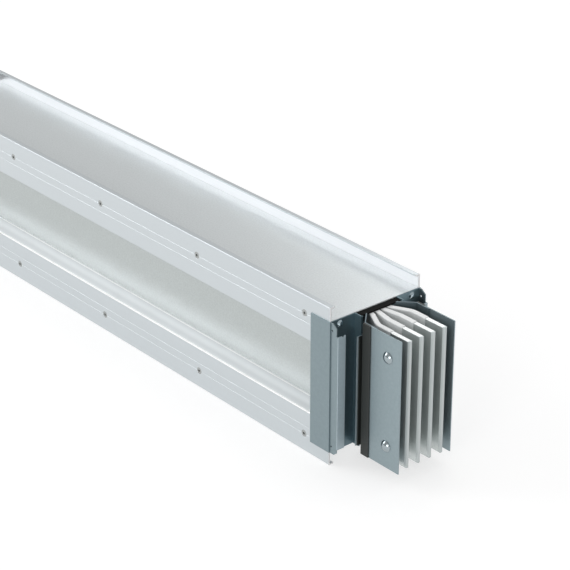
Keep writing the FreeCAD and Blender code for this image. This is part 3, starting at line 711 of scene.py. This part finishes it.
class BUSWAY_OT_case_screws(bpy.types.Operator):
    """Set the countersunk screws in both rows of both side profiles"""

    bl_idname = "busway.case_screws"
    bl_label = "Case screws"

    def execute(self, context):
        finishes, sizes, _ = settings()
        steel = stainless_steel(tuple(finishes.stainless))
        low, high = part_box("case_screws_near")
        radius, cone_height, shank = sizes.case_screw_radius, 2.2 * MM, 2.5 * MM
        screw = as_object(bmesh.new(), "countersunk_screw_source")
        screw.data = countersunk_screw(radius, cone_height, shank, high.y - low.y, sizes)
        tree = fastener_tree()
        for side, sign in (("near", 1), ("far", -1)):
            low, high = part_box("case_screws_" + side)
            middle = (low + high) / 2
            face = low.y if sign == 1 else high.y
            fastener_piece("countersunk_screws_" + side, tree, screw, columns=5, rows=2,
                           width=high.x - low.x - 2 * radius, height=high.z - low.z - 2 * radius,
                           centre=(middle.x, face, middle.z), facing=(sign * math.pi / 2, 0, 0), seed=sizes.seed,
                           material=steel, node="case_screws_" + side)
        bpy.data.objects.remove(screw)
        return {"FINISHED"}


class BUSWAY_OT_end_screws(bpy.types.Operator):
    """Set the pan head screws in the case's ends"""

    bl_idname = "busway.end_screws"
    bl_label = "End screws"

    def execute(self, context):
        finishes, sizes, _ = settings()
        zinc = zinc_plated_steel("zinc_plated_screw", tuple(finishes.lit_lip_and_screw_zinc), roughness=0.15)
        low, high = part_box("end_screws_right")
        # the CAD heads are smaller than the photo's, and their radius sets the screws' spacing
        cad_radius, head_height, nut_radius, nut_height = 4 * MM, 2.6 * MM, 3.5 * MM, 3 * MM
        length = high.x - low.x - head_height - nut_height
        screw = as_object(bmesh.new(), "pan_head_screw_source")
        screw.data = pan_head_screw(sizes.pan_head_radius, head_height, length, nut_radius, nut_height, sizes)
        tree = fastener_tree()
        for side, sign in (("right", 1), ("left", -1)):
            low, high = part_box("end_screws_" + side)
            middle = (low + high) / 2
            seat = high.x - head_height if sign == 1 else low.x + head_height
            fastener_piece("pan_head_screws_" + side, tree, screw, columns=2, rows=2,
                           width=high.z - low.z - 2 * cad_radius, height=high.y - low.y - 2 * cad_radius,
                           centre=(seat, middle.y, middle.z), facing=(0, sign * math.pi / 2, 0), seed=sizes.seed,
                           material=zinc, node="end_screws_" + side)
        bpy.data.objects.remove(screw)
        return {"FINISHED"}


class BUSWAY_OT_plate_studs(bpy.types.Operator):
    """Set the dome headed studs in the earth plates"""

    bl_idname = "busway.plate_studs"
    bl_label = "Plate studs"

    def execute(self, context):
        finishes, sizes, _ = settings()
        zinc = zinc_plated_steel("zinc_plated_stud", tuple(finishes.zinc), roughness=0.1)
        low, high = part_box("plate_studs_near_right")
        head_height, tail_radius, tail_height = 4.6 * MM, 6.5 * MM, 2 * MM
        radius = (high.x - low.x) / 2
        stud = as_object(bmesh.new(), "dome_stud_source")
        length = high.y - low.y - head_height - tail_height
        stud.data = dome_stud(radius, head_height, length, tail_radius, tail_height, sizes)
        tree = fastener_tree()
        for end in ("right", "left"):
            for side, sign in (("near", 1), ("far", -1)):
                name = "%s_%s" % (side, end)
                low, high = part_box("plate_studs_" + name)
                middle = (low + high) / 2
                seat = low.y + head_height if sign == 1 else high.y - head_height
                fastener_piece("dome_studs_" + name, tree, stud, columns=1, rows=2, width=0.0,
                               height=high.z - low.z - 2 * radius, centre=(middle.x, seat, middle.z),
                               facing=(sign * math.pi / 2, 0, 0), seed=sizes.seed, material=zinc,
                               node="plate_studs_" + name)
        bpy.data.objects.remove(stud)
        return {"FINISHED"}


def softbox(name, spot, aim, size, power):
    """A square area lamp at a spot, turned to its aim."""
    lamp = bpy.data.lights.new(name, "AREA")
    lamp.size = size
    lamp.energy = power
    thing = bpy.data.objects.new(name, lamp)
    thing.location = spot
    thing.rotation_euler = (Vector(aim) - Vector(spot)).to_track_quat("-Z", "Y").to_euler()
    bpy.context.scene.collection.objects.link(thing)


def seen_directly(tree):
    """1 for camera, glossy and transmission rays, which see the white backdrop itself."""
    path = add_node(tree, "ShaderNodeLightPath")
    either = add_node(tree, "ShaderNodeMath", {0: path.outputs["Is Camera Ray"],
                                               1: path.outputs["Is Glossy Ray"]}, operation="MAXIMUM")
    return add_node(tree, "ShaderNodeMath", {0: either.outputs[0], 1: path.outputs["Is Transmission Ray"]},
                    operation="MAXIMUM").outputs[0]


def paper_sweep(colour, glow):
    """Matt white paper: takes the section's shadow and otherwise shows white."""
    material, tree, shader = new_material("white_paper_sweep", colour, roughness=0.9)
    # cloudiness of the paper, far coarser than its fibres
    cloud = object_noise(tree, 40 * MM, detail=3)
    vary_colour(tree, shader, colour, cloud, amount=0.01)
    shown = add_node(tree, "ShaderNodeMath", {0: seen_directly(tree), 1: glow}, operation="MULTIPLY")
    emitted = add_node(tree, "ShaderNodeEmission", {"Color": (1, 1, 1, 1), "Strength": shown.outputs[0]})
    both = add_node(tree, "ShaderNodeAddShader", {0: shader.outputs["BSDF"], 1: emitted.outputs["Emission"]})
    tree.links.new(both.outputs["Shader"], tree.nodes["Material Output"].inputs["Surface"])
    return material


class BUSWAY_OT_studio(bpy.types.Operator):
    """Lay the floor, hang the lamps and set the camera at the photo's angle"""

    bl_idname = "busway.studio"
    bl_label = "Studio"

    def execute(self, context):
        studio = settings()[2]
        scene = context.scene
        scene.view_settings.view_transform = "Standard"

        # even light from all round; the white comes from the floor's own material
        world = bpy.data.worlds.new("studio_room")
        world.use_nodes = True
        scene.world = world
        background = world.node_tree.nodes["Background"]
        background.inputs["Color"].default_value = (1, 1, 1, 1)
        background.inputs["Strength"].default_value = studio.room_light

        floor_shape = bmesh.new()
        bmesh.ops.create_circle(floor_shape, cap_ends=True, segments=96, radius=FLOOR_RADIUS)
        floor = as_object(floor_shape, "studio_floor")
        floor.data.materials.append(paper_sweep(tuple(studio.paper), studio.paper_glow))

        for name, power, spot, size in SOFTBOXES:
            softbox(name, spot, LAMPS_AIM, size, getattr(studio, power))

        camera = bpy.data.cameras.new("photo_camera")
        camera.lens = studio.lens
        camera.sensor_width = 36
        camera.clip_end = 100
        holder = bpy.data.objects.new("photo_camera", camera)
        holder.location = studio.camera_place
        holder.rotation_euler = Euler((math.pi / 2 - studio.camera_pitch, 0, math.pi / 2 - studio.camera_yaw))
        scene.collection.objects.link(holder)
        scene.camera = holder
        return {"FINISHED"}


OPERATORS = (BUSWAY_OT_case, BUSWAY_OT_conductors, BUSWAY_OT_sheets, BUSWAY_OT_mouldings, BUSWAY_OT_case_screws,
             BUSWAY_OT_end_screws, BUSWAY_OT_plate_studs, BUSWAY_OT_studio)


class BUSWAY_PT_sidebar(bpy.types.Panel):
    """The section's settings and steps"""

    bl_idname = "BUSWAY_PT_sidebar"
    bl_label = "Busway section"
    bl_space_type = "VIEW_3D"
    bl_region_type = "UI"
    bl_category = "Busway"

    def draw(self, context):
        for group in settings():
            box = self.layout.box()
            for name in group.__annotations__:
                box.prop(group, name)
        for operator in OPERATORS:
            self.layout.operator(operator.bl_idname)


GROUPS = {"busway_finishes": BuswayFinishes, "busway_fasteners": BuswayFasteners, "busway_studio": BuswayStudio}


def register():
    for kind in (*GROUPS.values(), *OPERATORS, BUSWAY_PT_sidebar):
        bpy.utils.register_class(kind)
    for name, group in GROUPS.items():
        setattr(bpy.types.Scene, name, PointerProperty(type=group))


def unregister():
    for name in GROUPS:
        delattr(bpy.types.Scene, name)
    for kind in reversed((*GROUPS.values(), *OPERATORS, BUSWAY_PT_sidebar)):
        bpy.utils.unregister_class(kind)


def main():
    """Run every step in order."""
    register()
    for operator in OPERATORS:
        group, name = operator.bl_idname.split(".")
        getattr(getattr(bpy.ops, group), name)()


if __name__ == "__main__":
    main()
